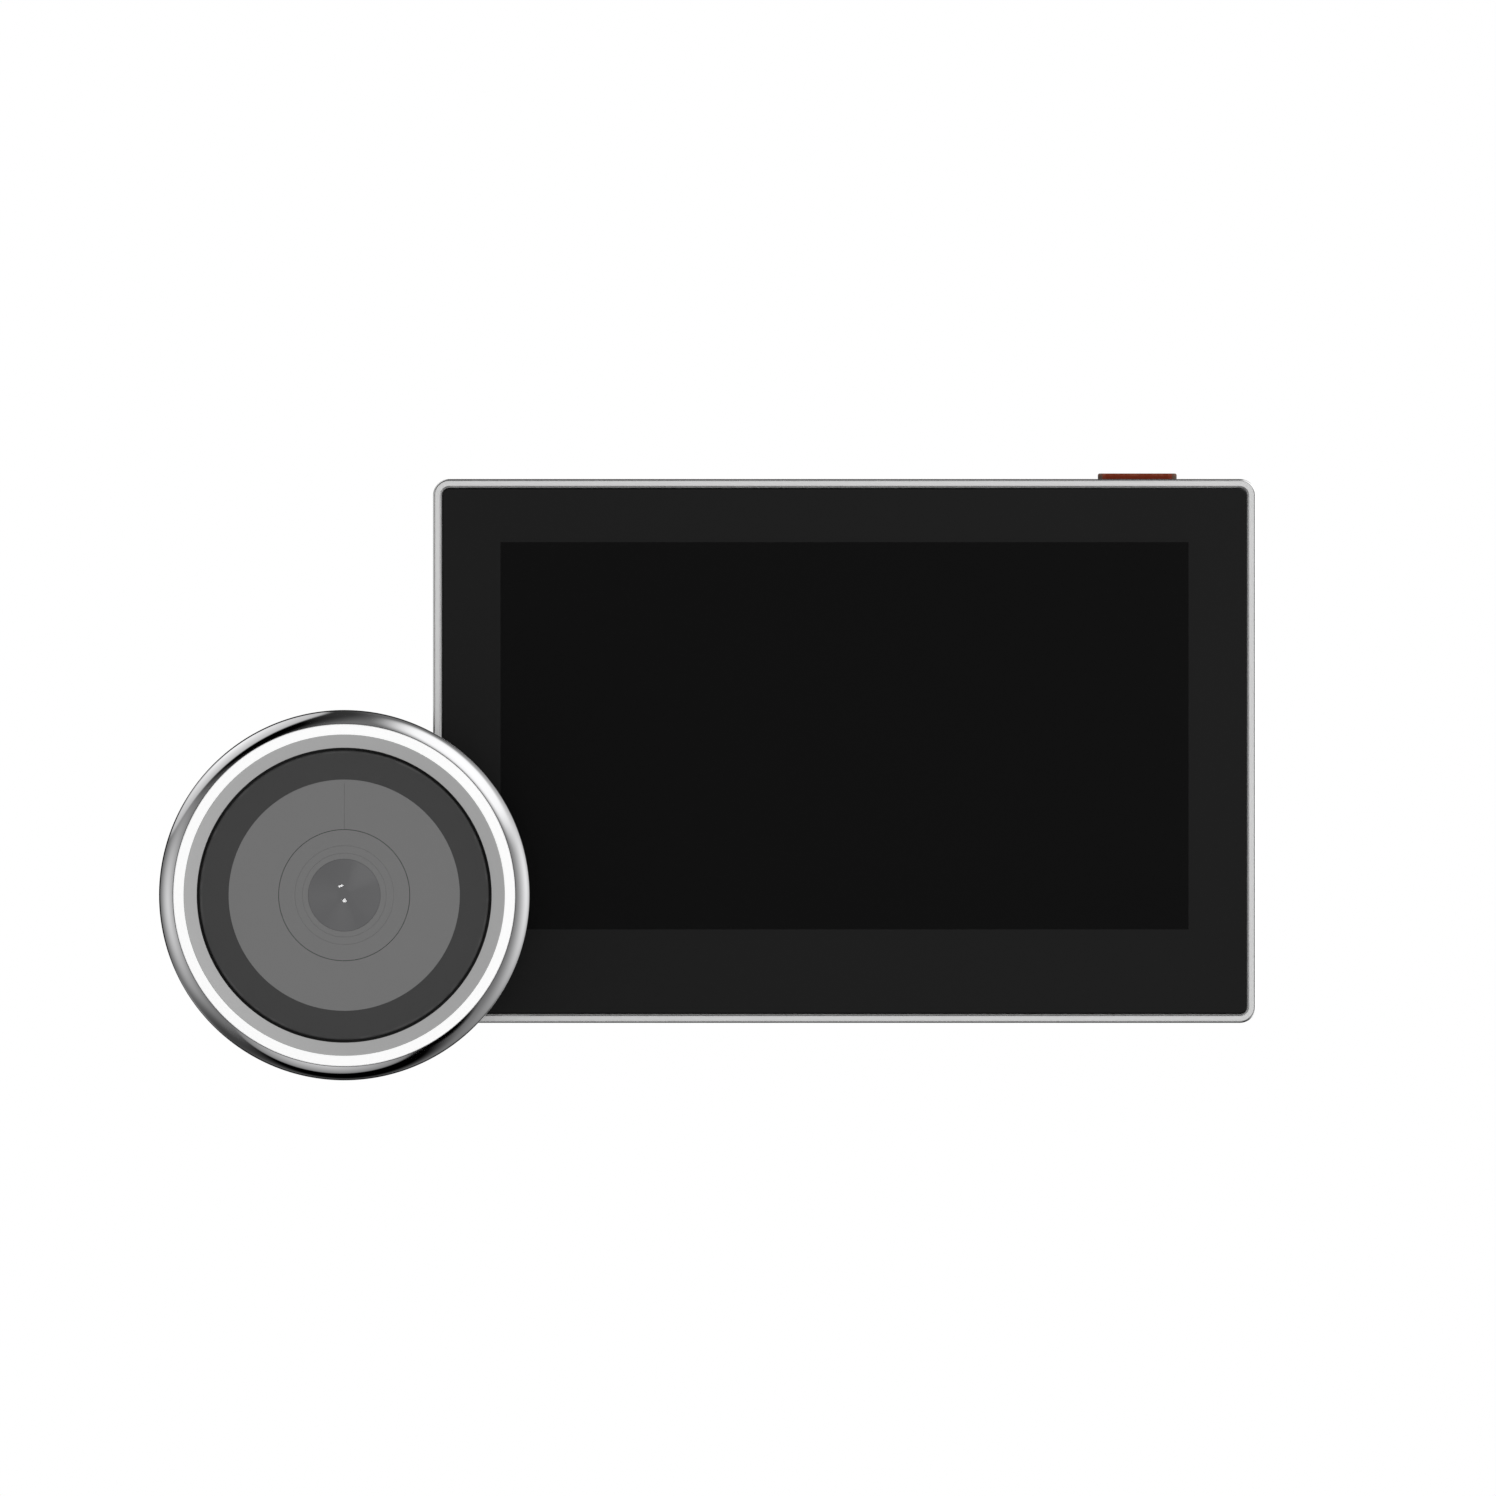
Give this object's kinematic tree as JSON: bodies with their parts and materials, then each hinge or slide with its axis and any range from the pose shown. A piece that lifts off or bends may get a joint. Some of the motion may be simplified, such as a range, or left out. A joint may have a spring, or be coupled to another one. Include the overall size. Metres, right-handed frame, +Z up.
{
  "type": "peephole door camera",
  "caption": "Peephole door camera: a black glass indoor screen unit with a red wake key, on a door bracket, and a round chrome-edged outdoor camera with a bell push and hollow stem.",
  "frame": {"origin": "on the inner face of the door, where the axis of the bracket's sleeve nut meets it", "axes": "+X to the right as a person looks at the screen, +Y into the door, +Z up"},
  "size_m": [0.1765, 0.061, 0.0976],
  "materials": {
    "bracket_steel": "satin powder coat",
    "pad_foam": "matt foam",
    "nut_brass": "machined",
    "spring_steel": "plain",
    "frame_metal": "satin anodised",
    "front_glass": "polished, black printed border",
    "tape_black": "matt",
    "screen_dark": "polished, switched off",
    "flex_amber": "satin film",
    "board_green": "solder mask",
    "tin_plate": "tinned",
    "screw_steel": "zinc plated",
    "battery_wrap": "foil pouch",
    "speaker_black": "matt",
    "socket_steel": "plated",
    "socket_ivory": "plain moulded",
    "switch_black": "moulded",
    "plunger_white": "moulded",
    "key_red": "gloss lacquer",
    "cover_charcoal": "fine spark texture",
    "head_chrome": "polished",
    "light_white": "satin diffuser",
    "bevel_satin": "satin",
    "bell_dark": "satin",
    "face_grey": "satin",
    "lens_glass": "polished, coated",
    "inner_black": "matt",
    "housing_dark": "moulded",
    "led_yellow": "resin",
    "sensor_blue": "polished",
    "gasket_black": "matt",
    "stem_metal": "turned"
  },
  "bodies": {
    "bracket": {"bracket_plate": "bracket_steel", "door_pad": "pad_foam"},
    "sleeve_nut": {"sleeve_nut": "nut_brass", "nut_retainer": "spring_steel"},
    "indoor_unit": {"front_frame": "frame_metal", "cover_glass": "front_glass", "glass_tape": "tape_black", "lcd_panel": "screen_dark", "lcd_flex": "flex_amber", "main_board": "board_green", "shield_can": "tin_plate", "board_screws": "screw_steel", "battery_pack": "battery_wrap", "speaker": "speaker_black", "microphone": "socket_steel", "mic_boot": "gasket_black", "usb_socket": "socket_steel", "camera_socket": "socket_ivory", "wake_switch": "switch_black", "rear_cover": "cover_charcoal", "cover_screws": "screw_steel"},
    "wake_button": {"wake_button": "key_red", "wake_plunger": "plunger_white"},
    "outdoor_unit": {"head_housing": "housing_dark", "head_bezel": "head_chrome", "light_ring": "light_white", "bevel_ring": "bevel_satin", "led_board": "board_green", "ring_leds": "led_yellow", "bell_switch": "switch_black", "bell_springs": "spring_steel", "lens_hub": "face_grey", "front_lens": "lens_glass", "lens_barrel": "inner_black", "rear_lens": "lens_glass", "lens_holder": "inner_black", "image_sensor": "sensor_blue", "head_board": "board_green", "head_screws": "screw_steel", "door_gasket": "gasket_black", "stem": "stem_metal", "cable_grommet": "gasket_black"},
    "bell_push": {"bell_ring": "bell_dark", "face_plate": "face_grey", "bell_plunger": "plunger_white"}
  },
  "joints": [
    {"name": "nut_turn", "type": "hinge", "parent": "bracket", "child": "sleeve_nut", "pos_m": [0, -0.0018, 0], "axis": [0, 1, 0], "continuous": true},
    {"name": "unit_lift", "type": "slide", "parent": "bracket", "child": "indoor_unit", "axis": [0, 0, 1], "range_m": [0, 0.0064]},
    {"name": "wake_press", "type": "slide", "parent": "indoor_unit", "child": "wake_button", "axis": [0, 0, -1], "range_m": [0, 0.0005], "stiffness_N_per_m": 3000},
    {"name": "head_slide", "type": "slide", "parent": "bracket", "child": "outdoor_unit", "axis": [0, -1, 0], "range_m": [0, 0.03]},
    {"name": "bell_press", "type": "slide", "parent": "outdoor_unit", "child": "bell_push", "axis": [0, 1, 0], "range_m": [0, 0.0006], "stiffness_N_per_m": 4000, "deforming": ["bell_springs"]}
  ]
}
